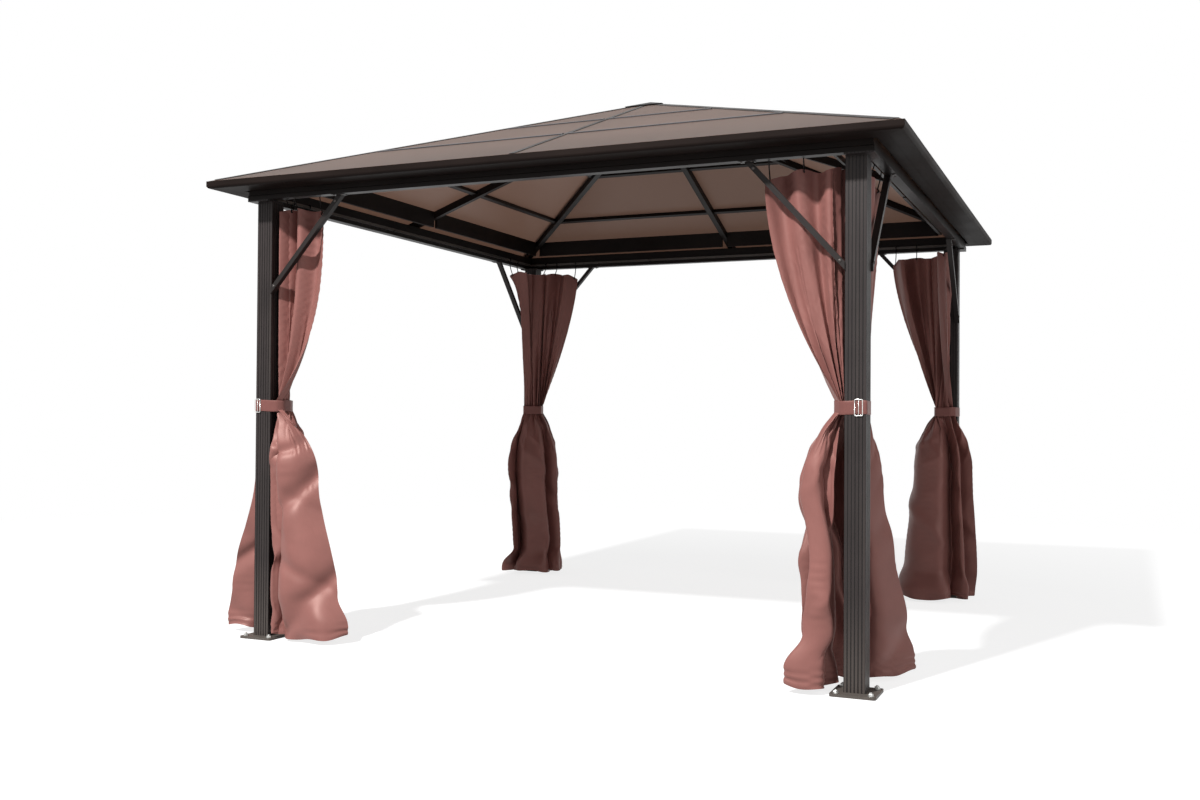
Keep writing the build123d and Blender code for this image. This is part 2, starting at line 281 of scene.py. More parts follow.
# ---------------------------------------------------------------------------
# Beams and closure boards: box sections with a proud lower lip, and the boards
# that close the roof above them. Extruded aluminium in the frame's coat, its colour
# made darker than the posts' as painted shade for the shadow under the roof.
# ---------------------------------------------------------------------------
beam_coat_painted_shade = powder_coat("beam_powder_coat_painted_shade", (0.0095, 0.0070, 0.0062), dust=0.0, roughness=0.40, shine=0.12)
finish(beam_coat_painted_shade, *(f"beam_{side}" for side in SIDES))
finish(beam_coat_painted_shade, *(f"closure_board_{side}" for side in SIDES))

# ---------------------------------------------------------------------------
# Fascias: gutter-like eave extrusions, coated aluminium, mitred at the corners.
# Their coat is darker than the posts' as painted shade. The roof sheets end behind their lip.
# ---------------------------------------------------------------------------
eave_coat_painted_shade = powder_coat("eave_powder_coat_painted_shade", (0.0125, 0.0086, 0.0075), dust=0.0, roughness=0.50, shine=0.03)
finish(eave_coat_painted_shade, *(f"fascia_{side}" for side in SIDES))

# ---------------------------------------------------------------------------
# Eave returns: folded strips riveted under the fascias' inner walls, that close
# the eave towards the beams and leave a slot for air. Their ends are mitred.
# ---------------------------------------------------------------------------
fascia_inner, fascia_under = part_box("fascia_right")[0].x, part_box("fascia_right")[0].z
return_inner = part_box("beam_right")[1].x + 0.010
return_thick, return_lip = 0.0014, 0.007
return_fold = [(fascia_inner + return_thick, 0), (return_inner, 0), (return_inner, return_lip),
               (return_inner + return_thick, return_lip), (return_inner + return_thick, return_thick),
               (fascia_inner + return_thick, return_thick)]
for side, (dx, dy) in SIDES.items():
    outward, along = Vector((dx, dy, 0)), Vector((-dy, dx, 0))
    strip = bmesh.new()
    skin(strip, [[outward * out + along * end * out + Vector((0, 0, fascia_under + rise))
                  for out, rise in return_fold] for end in (-1, 1)])
    bmesh.ops.recalc_face_normals(strip, faces=strip.faces)
    # The strips share the fascias' coat, darkened as painted shade.
    add_piece(f"eave_return_{side}", strip, eave_coat_painted_shade)

# ---------------------------------------------------------------------------
# Rafters, purlins and apex cap: coated tubes and folded strips that carry the
# sheets, bolted to the beams below and to each other under the cap.
# ---------------------------------------------------------------------------
# Rafters and purlins share the beams' coat, darkened as painted shade.
finish(beam_coat_painted_shade, *(f"hip_rafter_{corner}" for corner in CORNERS))
finish(beam_coat_painted_shade, *(f"mid_rafter_{side}" for side in SIDES))
finish(beam_coat_painted_shade, "lower_purlins", "upper_purlins")
cap_coat = powder_coat("cap_powder_coat", (0.012, 0.0105, 0.011), dust=0.0, roughness=0.45, shine=0.05)
finish(cap_coat, "apex_cap")

# ---------------------------------------------------------------------------
# Roof sheets: twin-wall polycarbonate, tinted brown. Light comes through it
# softly, and its inner ribs show as fine lines down the slope.
# ---------------------------------------------------------------------------
def twin_wall(name, across):
    """Tinted twin-wall sheet whose ribs run down the slope; across is the axis they repeat along."""
    material, shader = blank_material(name)
    node, link = nodes_of(material)
    place = node("ShaderNodeTexCoord").outputs["Object"]
    split = node("ShaderNodeSeparateXYZ")
    link(place, split.inputs[0])
    rib_half_step, rib_half = 0.005, 0.0012
    off_rib = worked_out(node, link, "PINGPONG", split.outputs[across], rib_half_step)
    rib = ramp(node, link, off_rib, 0.0, rib_half, 1.0, 0.0)
    cloud = noise(node, link, place, 1.3)
    deep_brown, light_brown, rib_brown = (0.145, 0.103, 0.086), (0.184, 0.132, 0.112), (0.075, 0.055, 0.047)
    tint = mix_colours(node, link, ramp(node, link, cloud, 0.3, 0.7), deep_brown, light_brown)
    ribbed = mix_colours(node, link, ramp(node, link, rib, 0.0, 1.0, 0.0, 0.35), tint, rib_brown)
    link(ribbed, shader.inputs["Base Color"])
    shader.inputs["Roughness"].default_value = 0.42
    shader.inputs["Specular IOR Level"].default_value = 0.38
    bump = node("ShaderNodeBump", Strength=0.25, Distance=0.0004)
    link(rib, bump.inputs["Height"])
    link(bump.outputs[0], shader.inputs["Normal"])
    glow = node("ShaderNodeBsdfTranslucent", Color=(0.44, 0.325, 0.27, 1))
    both = node("ShaderNodeMixShader")
    both.inputs[0].default_value = 0.5
    link(shader.outputs[0], both.inputs[1])
    link(glow.outputs[0], both.inputs[2])
    link(both.outputs[0], material.node_tree.nodes["Material Output"].inputs["Surface"])
    return material


for side, (dx, dy) in SIDES.items():
    finish(twin_wall(f"twin_wall_{side}", "X" if dx == 0 else "Y"), f"roof_panel_{side}")

# ---------------------------------------------------------------------------
# Joint bars: slim coated strips laid over the sheets above each row of purlins,
# one each side of the mid rafter, their feet bedded in sealant.
# ---------------------------------------------------------------------------
joint_coat = powder_coat("joint_bar_coat", (0.045, 0.042, 0.045), dust=0.0, roughness=0.36, shine=0.4)
bar_half, bar_height, bar_bed = 0.008, 0.006, 0.001
mid_clear, hip_clear, purlin_half = 0.014, 0.052, 0.011
bar_section = [(-1, 0), (-1, 0.7), (-0.7, 1), (0.7, 1), (1, 0.7), (1, 0)]
for side, (dx, dy) in SIDES.items():
    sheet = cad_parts[f"roof_panel_{side}"]
    upper_faces = [face for face in sheet.data.polygons if face.normal.z > 0.5]
    top_face = max(upper_faces, key=lambda face: face.area)
    off_sheet = top_face.normal.copy()
    on_sheet = sheet.matrix_world @ top_face.center
    outward, along = Vector((dx, dy, 0)), Vector((-dy, dx, 0))
    down_slope = off_sheet.cross(along).normalized()
    bars = bmesh.new()
    for row in ("lower_purlins", "upper_purlins"):
        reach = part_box(row)[1].y - purlin_half
        middle = outward * reach
        middle.z = on_sheet.z - (middle - on_sheet).xy.dot(off_sheet.xy) / off_sheet.z
        for end in (-1, 1):
            skin(bars, [[middle + along * end * from_middle + down_slope * across * bar_half
                         + off_sheet * (rise * bar_height - bar_bed) for across, rise in bar_section]
                        for from_middle in (mid_clear, reach - hip_clear)])
    bmesh.ops.recalc_face_normals(bars, faces=bars.faces)
    add_piece(f"joint_bars_{side}", bars, joint_coat)

# ---------------------------------------------------------------------------
# Knee braces: slim coated bars from each post up to the beams, screwed to the
# post at the foot and to a small plate under the beam at the head.
# ---------------------------------------------------------------------------
brace_coat = powder_coat("brace_powder_coat", (0.018, 0.0145, 0.0135), dust=0.0, roughness=0.40, shine=0.18)
finish(brace_coat, *(f"braces_{corner}" for corner in CORNERS))


def arm_frames(corner):
    """Both arms of a corner: the way inward along it, the way outward across it, the post's middle."""
    sx, sy = CORNERS[corner]
    centre = Vector((sx * post_middle, sy * post_middle, 0))
    return ((Vector((-sx, 0, 0)), Vector((0, sy, 0)), centre),
            (Vector((0, -sy, 0)), Vector((sx, 0, 0)), centre))


def slab(builder, centre, axes, halves, eased=0.0012, rounded=0.0004):
    """A small plate with eased corners and edges, from its middle, its three ways and its half sizes."""
    long, wide, thick = halves
    corners = [(long, wide - eased), (long - eased, wide)]
    outline = [*corners, *((-x, y) for x, y in reversed(corners)),
               *((-x, -y) for x, y in corners), *((x, -y) for x, y in reversed(corners))]
    skin(builder, [[centre + axes[0] * (x - copysign(inset, x)) + axes[1] * (y - copysign(inset, y))
                    + axes[2] * share * thick for x, y in outline]
                   for share, inset in ((-1, rounded), (-0.6, 0.0), (0.6, 0.0), (1, rounded))])


brace_zinc = zinc("brace_zinc", (0.10, 0.09, 0.085), 0.42)
up = Vector((0, 0, 1))
beam_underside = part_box("beam_front")[0].z
brace_offset, brace_half_width = 0.0345, 0.0125
brace_face = brace_offset + brace_half_width
brace_foot, brace_head = Vector((0.039, 1.530)), Vector((0.400, beam_underside))
brace_way = (brace_head - brace_foot).normalized()
foot_screw_in, head_screw_in = 0.026, 0.034
pan_head = [(0.0062, 0.0), (0.0062, 0.0014), (0.0048, 0.0030), (0.0020, 0.0036)]
plate_half_length, plate_half_width, plate_thick, plate_outward = 0.030, 0.020, 0.0025, 0.014
plate_screw_step, plate_screw_outward = 0.020, 0.010
low_head = [(0.0048, 0.0), (0.0048, 0.0012), (0.0036, 0.0026), (0.0014, 0.0030)]
for corner in CORNERS:
    plates, screws = bmesh.new(), bmesh.new()
    for inward, outward, centre in arm_frames(corner):
        plate = centre + inward * brace_head.x + outward * (brace_offset + plate_outward)
        plate.z = beam_underside - plate_thick / 2
        slab(plates, plate, (inward, outward, up), (plate_half_length, plate_half_width, plate_thick / 2))
        for shift in (-plate_screw_step, plate_screw_step):
            under_plate = plate + inward * shift + outward * plate_screw_outward - up * plate_thick / 2
            turned(screws, low_head, under_plate, -up, 16)
        for place in (brace_foot + brace_way * foot_screw_in, brace_head - brace_way * head_screw_in):
            on_brace = centre + inward * place.x + outward * brace_face + up * place.y
            turned(screws, pan_head, on_brace, outward, 18)
    add_piece(f"brace_plates_{corner}", plates, brace_coat)
    add_piece(f"brace_screws_{corner}", screws, brace_zinc)

# ---------------------------------------------------------------------------
# Curtain rails: slim coated tubes inside the beams, one along each side, that
# the curtain hooks slide on.
# ---------------------------------------------------------------------------
rail_coat = powder_coat("rail_powder_coat", (0.075, 0.066, 0.060), dust=0.0, roughness=0.3, shine=0.5)
finish(rail_coat, "curtain_rails")

# ---------------------------------------------------------------------------
# Curtains: one sheet of brown polyester satin at each corner, hemmed all round,
# hung from the two rails on hooks, gathered at the post by a strap, loose below.
# ---------------------------------------------------------------------------
def satin(name, colour):
    """Woven satin with a fine slub; the UV map is the flat cut, in metres."""
    material, shader = blank_material(name)
    node, link = nodes_of(material)
    cut = node("ShaderNodeTexCoord").outputs["UV"]
    cloud = noise(node, link, cut, 5.0)
    slub = noise(node, link, cut, 260.0, detail=2.0, stretch=(1, 0.08, 1))
    dark = tuple(0.86 * c for c in colour)
    light = tuple(1.1 * c for c in colour)
    tone = mix_colours(node, link, ramp(node, link, cloud, 0.3, 0.7), dark, light)
    slubbed = mix_colours(node, link, ramp(node, link, slub, 0.4, 0.75, 0.0, 0.25), tone, dark)
    link(slubbed, shader.inputs["Base Color"])
    weave = node("ShaderNodeTexWave", Scale=420.0)
    link(cut, weave.inputs["Vector"])
    bump = node("ShaderNodeBump", Strength=0.08, Distance=0.0003)
    link(weave.outputs["Fac"], bump.inputs["Height"])
    link(bump.outputs[0], shader.inputs["Normal"])
    link(ramp(node, link, cloud, 0.3, 0.7, 0.42, 0.50), shader.inputs["Roughness"])
    for socket, value in (("Specular IOR Level", 0.42), ("Specular Tint", (1.0, 0.74, 0.66, 1)),
                          ("Sheen Weight", 0.10), ("Sheen Roughness", 0.4),
                          ("Sheen Tint", (0.85, 0.62, 0.55, 1))):
        shader.inputs[socket].default_value = value
    return material


strap_middle = (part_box("tie_straps")[0].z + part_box("tie_straps")[1].z) / 2
header_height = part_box("curtain_front_right")[1].z
hem_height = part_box("curtain_front_right")[0].z - 0.012

cloth_width, upper_length, lower_length = 1.10, 0.95, 1.14
cloth_length = upper_length + lower_length
cloth_columns, upper_rows, lower_rows = 96, 54, 66
gathered_rows, waist_pleats = 2, 12
fold_reach = 16  # columns to each side that the slack folds take their way out from
beyond_post = 0.075
upper_hold, skirt_hold = 0.50, 0.60
drawing_frames, settling_frames = 20, 25


def line_length(points):
    return sum((b - a).length for a, b in zip(points, points[1:]))


def evenly(points, count):
    """The same line with its places evenly spaced along it."""
    along = [0.0]
    for a, b in zip(points, points[1:]):
        along.append(along[-1] + (b - a).length)
    places, k = [], 0
    for j in range(count):
        want = along[-1] * j / (count - 1)
        while k < len(points) - 2 and along[k + 1] < want:
            k += 1
        share = (want - along[k]) / max(along[k + 1] - along[k], 1e-9)
        places.append(points[k].lerp(points[k + 1], min(max(share, 0.0), 1.0)))
    return places


def smooth_line(points, count):
    """Evenly spaced places on a smooth plan line through a few points."""
    points = [Vector(p) for p in points]
    ends = [points[0] * 2 - points[1], *points, points[-1] * 2 - points[-2]]
    fine = []
    for before, here, there, after in zip(ends, ends[1:], ends[2:], ends[3:]):
        for k in range(30):
            t = k / 30
            fine.append(0.5 * (2 * here + (there - before) * t
                               + (2 * before - 5 * here + 4 * there - after) * t ** 2
                               + (3 * here - before - 3 * there + after) * t ** 3))
    fine.append(points[-1])
    return evenly(fine, count)


def laid_in(points, fold_at):
    """A plan line laid in folds, as deep as makes its length the cloth's width. fold_at gives, for
    a share of the way along, how far the cloth leaves the line to its inner side and along it."""
    steps = 1200
    line = smooth_line(points, steps + 1)
    offsets = []
    for k in range(steps + 1):
        way = (line[min(k + 1, steps)] - line[max(k - 1, 0)]).normalized()
        out, over = fold_at(k / steps)
        offsets.append(Vector((way.y, -way.x)) * out + way * over)

    shallow, deep = 0.0, 0.5
    for _ in range(24):
        depth = (shallow + deep) / 2
        if line_length([place + depth * offset for place, offset in zip(line, offsets)]) < cloth_width:
            shallow = depth
        else:
            deep = depth
    return evenly([place + deep * offset for place, offset in zip(line, offsets)], cloth_columns + 1)


def pleats(folds, start, uneven=0.3, lean=0.0):
    """Folds all along the line, uneven in depth, laid over one another by lean."""
    def fold_at(share):
        turn = 2 * pi * folds * share
        swell = 1 + uneven * sin(0.37 * turn + start) * cos(0.23 * turn + 2 * start)
        out = swell * (1 - cos(turn + 0.5 * uneven * sin(0.61 * turn + start))) / 2
        return out, out * lean
    return fold_at


def tucks(places, side, width=0.055):
    """Broad panels with a few deep, narrow folds between them at shares of the line."""
    def fold_at(share):
        return side * sum(exp(-((share - place) / width) ** 2) for place in places), 0.0
    return fold_at


# How each curtain hangs. Plan lines run from the cloth's end on the front or rear rail, round the
# post's inner corner, to its end on the side rail, in metres inward along x and y from the post's
# middle. A skirt is given at a few heights, from below the strap to the hem.
round_post = [(0.066, -0.018), (0.050, -0.006), (0.048, 0.038), (0.038, 0.048),
              (-0.006, 0.050), (-0.018, 0.066)]
hangings = {
    "front_right": dict(
        reach=(0.345, 0.360), belly=(1.75, 1.6), start=0.4, loose=0.6, slant=1,
        buckle=-0.012, top_folds=6, tucks=(0.38, 0.55, 0.66), side=1,
        waist=[(0.045, -0.032), (0.045, 0.034), (0.034, 0.045), (0.006, 0.045)],
        skirt=[
            (0.72, [(0.150, -0.015), (0.190, -0.060), (0.110, -0.080), (0.050, -0.040), (0.052, 0.050),
                    (0.000, 0.110), (-0.058, 0.200)]),
            (0.48, [(0.130, -0.030), (0.155, -0.080), (0.090, -0.085), (0.050, -0.036), (0.052, 0.060),
                    (-0.020, 0.130), (-0.092, 0.250)]),
            (0.21, [(0.150, -0.040), (0.178, -0.085), (0.100, -0.085), (0.050, -0.036), (0.050, 0.070),
                    (-0.030, 0.150), (-0.132, 0.310)]),
            (0.10, [(0.210, -0.050), (0.243, -0.105), (0.140, -0.100), (0.056, -0.042), (0.050, 0.080),
                    (-0.040, 0.170), (-0.148, 0.345)]),
        ]),
    "front_left": dict(
        reach=(0.296, 0.320), belly=(2.9, 1.5), start=1.0, loose=1.4, slant=-1,
        buckle=-0.027, top_folds=5, tucks=(0.44, 0.62, 0.74), side=1,
        waist=[(0.045, -0.036), (0.045, 0.034), (0.034, 0.045), (0.012, 0.045)],
        skirt=[
            (0.72, [(0.260, 0.010), (0.180, -0.065), (0.080, -0.090), (0.036, -0.060), (0.052, 0.010),
                    (0.020, 0.062), (-0.100, 0.035)]),
            (0.20, [(0.375, 0.000), (0.260, -0.080), (0.100, -0.095), (0.040, -0.065), (0.056, 0.010),
                    (0.010, 0.066), (-0.215, 0.025)]),
            (0.08, [(0.430, 0.005), (0.320, -0.080), (0.120, -0.098), (0.048, -0.070), (0.058, 0.010),
                    (0.000, 0.068), (-0.240, 0.025)]),
        ]),
    "rear_left": dict(
        reach=(0.312, 0.305), belly=(1.4, 0.5), start=3.1, loose=0.7, slant=1,
        buckle=-0.012, top_folds=5, tucks=(0.20, 0.44, 0.90), side=-1,
        waist=[(0.060, -0.004), (0.058, 0.030), (0.044, 0.045), (0.020, 0.050)],
        skirt=[
            (0.68, [(0.130, -0.060), (0.208, 0.010), (0.190, 0.110), (0.100, 0.180), (0.020, 0.250),
                    (-0.035, 0.265)]),
            (0.17, [(0.150, -0.060), (0.232, 0.010), (0.215, 0.120), (0.120, 0.190), (0.040, 0.240),
                    (0.000, 0.255)]),
            (0.05, [(0.200, -0.040), (0.270, 0.080), (0.250, 0.200), (0.110, 0.235), (-0.020, 0.240),
                    (-0.100, 0.220)]),
        ]),
    "rear_right": dict(
        reach=(0.328, 0.330), belly=(1.45, 1.6), start=4.6, loose=0.7, slant=-1,
        buckle=-0.012, top_folds=5, tucks=(0.12, 0.74, 0.92), side=-1,
        waist=[(0.045, -0.030), (0.045, 0.036), (0.036, 0.045), (0.006, 0.045)],
        skirt=[
            (0.72, [(0.150, -0.030), (0.190, 0.070), (0.150, 0.180), (0.020, 0.225), (-0.090, 0.205),
                    (-0.142, 0.150)]),
            (0.17, [(0.190, -0.020), (0.238, 0.110), (0.170, 0.225), (0.020, 0.255), (-0.115, 0.225),
                    (-0.168, 0.150)]),
            (0.05, [(0.240, 0.030), (0.262, 0.180), (0.160, 0.300), (-0.020, 0.310), (-0.125, 0.240),
                    (-0.160, 0.110)]),
        ]),
}


def slack(u, drop, start, slant, loose):
    """How far loose cloth stands off its line, u across it and drop metres below the strap: sagging
    loops under the strap, folds that slant across the skirt, and a hem that curls in and out."""
    loops = exp(-(sin(pi * 8.0 * (drop + 1.1 * (u - 0.25) ** 2) + start) / 0.50) ** 2)
    slants = exp(-(sin(pi * 2.3 * (drop + 0.85 * slant * u) + start) / 0.32) ** 2)
    cross = exp(-(sin(pi * 2.9 * (drop - 0.60 * slant * u) + 2 * start) / 0.35) ** 2)
    curl = sin(2 * pi * 3.6 * u + 3 * start) * max(0.0, (drop - 0.80) / 0.20) ** 2
    under_strap = exp(-((drop - 0.16) / 0.10) ** 2)
    return loose * (0.014 * loops * under_strap + 0.018 * slants * min(1.0, drop / 0.3)
                    + 0.008 * cross * min(1.0, drop / 0.6) + 0.014 * curl)


def cloth_lines(shape):
    """For each row from the header through the strap to the hem: the cloth's plan line and height, its
    share of the way between the two lines that it is drawn from, and whether it is in the hem's part."""
    reach_x, reach_y = shape["reach"]
    belly_x, belly_y = shape["belly"]
    header = [(reach_x, -0.014), (reach_x / 2 + 0.04, -0.018), *round_post,
              (-0.018, reach_y / 2 + 0.04), (-0.014, reach_y)]
    levels = [
        (0, header_height, laid_in(header, pleats(shape["top_folds"], shape["start"], 0.25))),
        (upper_rows, strap_middle, laid_in(shape["waist"], pleats(waist_pleats, shape["start"], lean=1.2))),
    ]
    for height, points in [*shape["skirt"], (hem_height, shape["skirt"][-1][1])]:
        below_waist = (strap_middle - height) / (strap_middle - hem_height)
        levels.append((upper_rows + round(below_waist * lower_rows), height,
                       laid_in(points, tucks(shape["tucks"], shape["side"]))))
    for (first_row, high, above), (last_row, low, below) in zip(levels, levels[1:]):
        at_hem = last_row == levels[-1][0]
        for row in range(first_row, last_row + at_hem):
            share = (row - first_row) / (last_row - first_row)
            if first_row == 0:
                drawn = [share ** (belly_x + (belly_y - belly_x) * column / cloth_columns)
                         for column in range(cloth_columns + 1)]
            elif first_row == upper_rows:
                drawn = [share * (2 - share)] * (cloth_columns + 1)
            else:
                drawn = [share * share * (3 - 2 * share)] * (cloth_columns + 1)
            line = [start.lerp(end, amount) for start, end, amount in zip(above, below, drawn)]
            yield row, line, high + (low - high) * share, share, at_hem


def hung_cloth(corner, shape, material):
    """One curtain: its flat cut beside the post, and the places that hooks, strap and ground draw it to."""
    sx, sy = CORNERS[corner]
    count = cloth_columns + 1
    last_row = upper_rows + lower_rows
    start, folds = shape["start"], shape["top_folds"]
    places, flat, cut = [], [], []
    for row, line, line_height, share, at_hem in cloth_lines(shape):
        cut_height = cloth_length * row / last_row
        for column, spot in enumerate(line):
            u = column / cloth_columns
            height = line_height
            if row >= upper_rows:
                ahead = line[min(column + fold_reach, cloth_columns)]
                way = (ahead - line[max(column - fold_reach, 0)]).normalized()
                stands_off = slack(u, strap_middle - height, start, shape["slant"], shape["loose"])
                spot = spot + Vector((way.y, -way.x)) * stands_off
            else:
                between_hooks = 0.016 * (1 - cos(2 * pi * folds * u)) / 2
                past_last_hook = 0.04 * max(0, 8 * abs(2 * u - 1) - 7)
                height -= (between_hooks + past_last_hook) * (1 - share)
            if at_hem:
                wave = (1 + sin(2 * pi * 2.3 * u + start)) * (1 + 0.5 * sin(2 * pi * 5.1 * u + 2 * start))
                height += 0.010 * share * wave
            places.append(Vector((sx * (post_middle - spot.x), sy * (post_middle - spot.y), height)))
            beside = cloth_width * (0.5 - u) / sqrt(2)
            flat.append(Vector((sx * (post_middle - beyond_post - beside),
                                sy * (post_middle - beyond_post + beside), header_height - cut_height)))
            cut.append((cloth_width * u, cut_height))
    faces = []
    for row in range(last_row):
        for column in range(cloth_columns):
            a = row * count + column
            quad = (a, a + 1, a + count + 1, a + count)
            faces.append(quad if sx * sy < 0 else quad[::-1])
    mesh = bpy.data.meshes.new(f"curtain_cloth_{corner}")
    mesh.from_pydata(flat, [], faces)
    mesh.polygons.foreach_set("use_smooth", [True] * len(mesh.polygons))
    uv = mesh.uv_layers.new(name="cut")
    for loop in mesh.loops:
        uv.data[loop.index].uv = cut[loop.vertex_index]
    mesh.materials.append(material)
    cloth = bpy.data.objects.new(f"curtain_cloth_{corner}", mesh)
    bpy.context.scene.collection.objects.link(cloth)
    cloth.shape_key_add(name="cut")
    hung = cloth.shape_key_add(name="hung")
    for point, spot in zip(hung.data, places):
        point.co = spot
    for frame_number, value in ((1, 0.0), (drawing_frames, 1.0)):
        hung.value = value
        hung.keyframe_insert("value", frame=frame_number)
    held = cloth.vertex_groups.new(name="held")
    above_strap, under_strap = upper_rows - gathered_rows, upper_rows + gathered_rows
    for first, last, weight in ((0, 0, 1.0), (1, above_strap - 1, upper_hold),
                                (above_strap, under_strap, 1.0),
                                (under_strap + 1, last_row - 1, skirt_hold), (last_row, last_row, 1.0)):
        held.add(list(range(first * count, (last + 1) * count)), weight, "REPLACE")
    return cloth


def let_fall(cloths, frames):
    """Lets the curtains fall round the posts, keeps their final shape and clears the simulation away."""
    scene = bpy.context.scene
    scene.frame_start, scene.frame_end = 1, frames
    guards = []
    for corner, (sx, sy) in CORNERS.items():
        low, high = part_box(f"post_{corner}")
        low = Vector((sx * post_middle - post_half, sy * post_middle - post_half, low.z))
        high = Vector((sx * post_middle + post_half, sy * post_middle + post_half, high.z))
        builder = bmesh.new()
        bmesh.ops.create_cube(builder, size=1.0)
        for vert in builder.verts:
            vert.co = Vector((low[i] + (vert.co[i] + 0.5) * (high[i] - low[i]) for i in range(3)))
        guard = linked("post_guard", builder)
        guard.modifiers.new("solid", "COLLISION")
        guard.collision.thickness_outer = 0.004
        guards.append(guard)
    for cloth in cloths:
        fall = cloth.modifiers.new("fall", "CLOTH")
        settings = fall.settings
        settings.quality = 6
        settings.mass = 0.2
        settings.tension_stiffness = settings.compression_stiffness = 12
        settings.shear_stiffness = 6
        settings.bending_stiffness = 0.25
        settings.air_damping = 2.5
        settings.vertex_group_mass = "held"
        settings.pin_stiffness = 40
        fall.collision_settings.distance_min = 0.003
        fall.collision_settings.collision_quality = 2
        fall.collision_settings.use_self_collision = False
        fall.point_cache.frame_start, fall.point_cache.frame_end = 1, frames
    for step in range(1, frames + 1):
        scene.frame_set(step)
    scene_graph = bpy.context.evaluated_depsgraph_get()
    fallen = [bpy.data.meshes.new_from_object(cloth.evaluated_get(scene_graph)) for cloth in cloths]
    for cloth, mesh in zip(cloths, fallen):
        cloth.modifiers.clear()
        cloth.shape_key_clear()
        cloth.data = mesh
    for guard in guards:
        bpy.data.objects.remove(guard)
    scene.frame_set(1)


curtain_satin = satin("curtain_satin", (0.228, 0.094, 0.082))
cloths = [hung_cloth(corner, shape, curtain_satin) for corner, shape in hangings.items()]
let_fall(cloths, drawing_frames + settling_frames)
for cloth, corner in zip(cloths, hangings):
    rounding = cloth.modifiers.new("rounding", "SUBSURF")
    rounding.levels = rounding.render_levels = 1
    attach(cloth, "root")
    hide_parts(f"curtain_{corner}")

# ---------------------------------------------------------------------------
# Curtain hooks: bent steel wire, one over the rail at each fold of the header,
# its lower eye through the stitched band of the cloth.
# ---------------------------------------------------------------------------
def wire(builder, points, radius, sides=8):
    """A round wire along a few places, closed at both ends."""
    sections, across = [], None
    for k, point in enumerate(points):
        way = (points[min(k + 1, len(points) - 1)] - points[max(k - 1, 0)]).normalized()
        if across is None:
            across = way.orthogonal().normalized()
        across = (across - way * across.dot(way)).normalized()
        beside = way.cross(across)
        angles = [2 * pi * j / sides for j in range(sides)]
        sections.append([point + radius * (across * cos(angle) + beside * sin(angle)) for angle in angles])
    skin(builder, sections, smooth=True)


hook_steel = zinc("hook_steel", (0.020, 0.018, 0.018), 0.42)
rail_radius, rail_offset = 0.006, 0.022
rail_middle_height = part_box("curtain_rails")[0].z + rail_radius
hook_radius, rail_loop, eye_loop = 0.0026, 0.0105, 0.0055
clear_of_post = 0.08
for cloth, (corner, shape) in zip(cloths, hangings.items()):
    sx, sy = CORNERS[corner]
    hooks = bmesh.new()
    for fold in range(shape["top_folds"] + 1):
        column = min(max(round(cloth_columns * fold / shape["top_folds"]), 2), cloth_columns - 2)
        spot = cloth.data.vertices[column].co
        from_post = (post_middle - sx * spot.x, post_middle - sy * spot.y)
        if max(from_post) < clear_of_post:
            continue
        arm = 0 if from_post[0] > from_post[1] else 1
        inward, outward, centre = arm_frames(corner)[arm]
        on_rail = centre + inward * from_post[arm] + outward * rail_offset + up * rail_middle_height
        places = [on_rail + rail_loop * (outward * cos(t) + up * sin(t)) for t in
                  (pi * (1.35 - 1.85 * k / 16) for k in range(17))]
        eye = Vector((spot.x, spot.y, spot.z - 0.006))
        places.append(places[-1].lerp(eye, 0.5) + outward * 0.002)
        places += [eye + eye_loop * (outward * cos(t) + up * sin(t)) for t in
                   (pi * (0.5 - 1.7 * k / 12) for k in range(13))]
        wire(hooks, places, hook_radius)
    add_piece(f"curtain_hooks_{corner}", hooks, hook_steel)

# ---------------------------------------------------------------------------
# Straps: a stitched band of the same satin round each post and its gathered
# curtain, drawn through a flat plated buckle on the post's outer face.
# ---------------------------------------------------------------------------
def around(points):
    """The convex outline of plan points, counter-clockwise."""
    ordered = sorted({(round(p.x, 5), round(p.y, 5)) for p in points})
    halves = []
    for run in (ordered, ordered[::-1]):
        chain = []
        for p in run:
            while len(chain) > 1 and ((chain[-1][0] - chain[-2][0]) * (p[1] - chain[-2][1])
                                      - (chain[-1][1] - chain[-2][1]) * (p[0] - chain[-2][0])) <= 0:
                chain.pop()
            chain.append(p)
        halves += chain[:-1]
    return [Vector(p) for p in halves]


strap_places, strap_clear = 160, 0.0010


def strap_line(corner, cloth):
    """The strap's plan line, in metres inward from the post's middle, closed and evenly spaced."""
    sx, sy = CORNERS[corner]
    bundle = [Vector((u * post_half, v * post_half)) for u in (-1, 1) for v in (-1, 1)]
    for vert in cloth.data.vertices:
        if abs(vert.co.z - strap_middle) < 0.016:
            bundle.append(Vector((post_middle - sx * vert.co.x, post_middle - sy * vert.co.y)))
    hull = around(bundle)
    even = evenly([*hull, hull[0]], strap_places + 1)[:-1]
    for _ in range(6):
        even = [(even[k - 1] + 2 * even[k] + even[(k + 1) % strap_places]) / 4 for k in range(strap_places)]
    clear = []
    for k in range(strap_places):
        way = (even[(k + 1) % strap_places] - even[k - 1]).normalized()
        clear.append(even[k] + Vector((way.y, -way.x)) * strap_clear)
    return clear


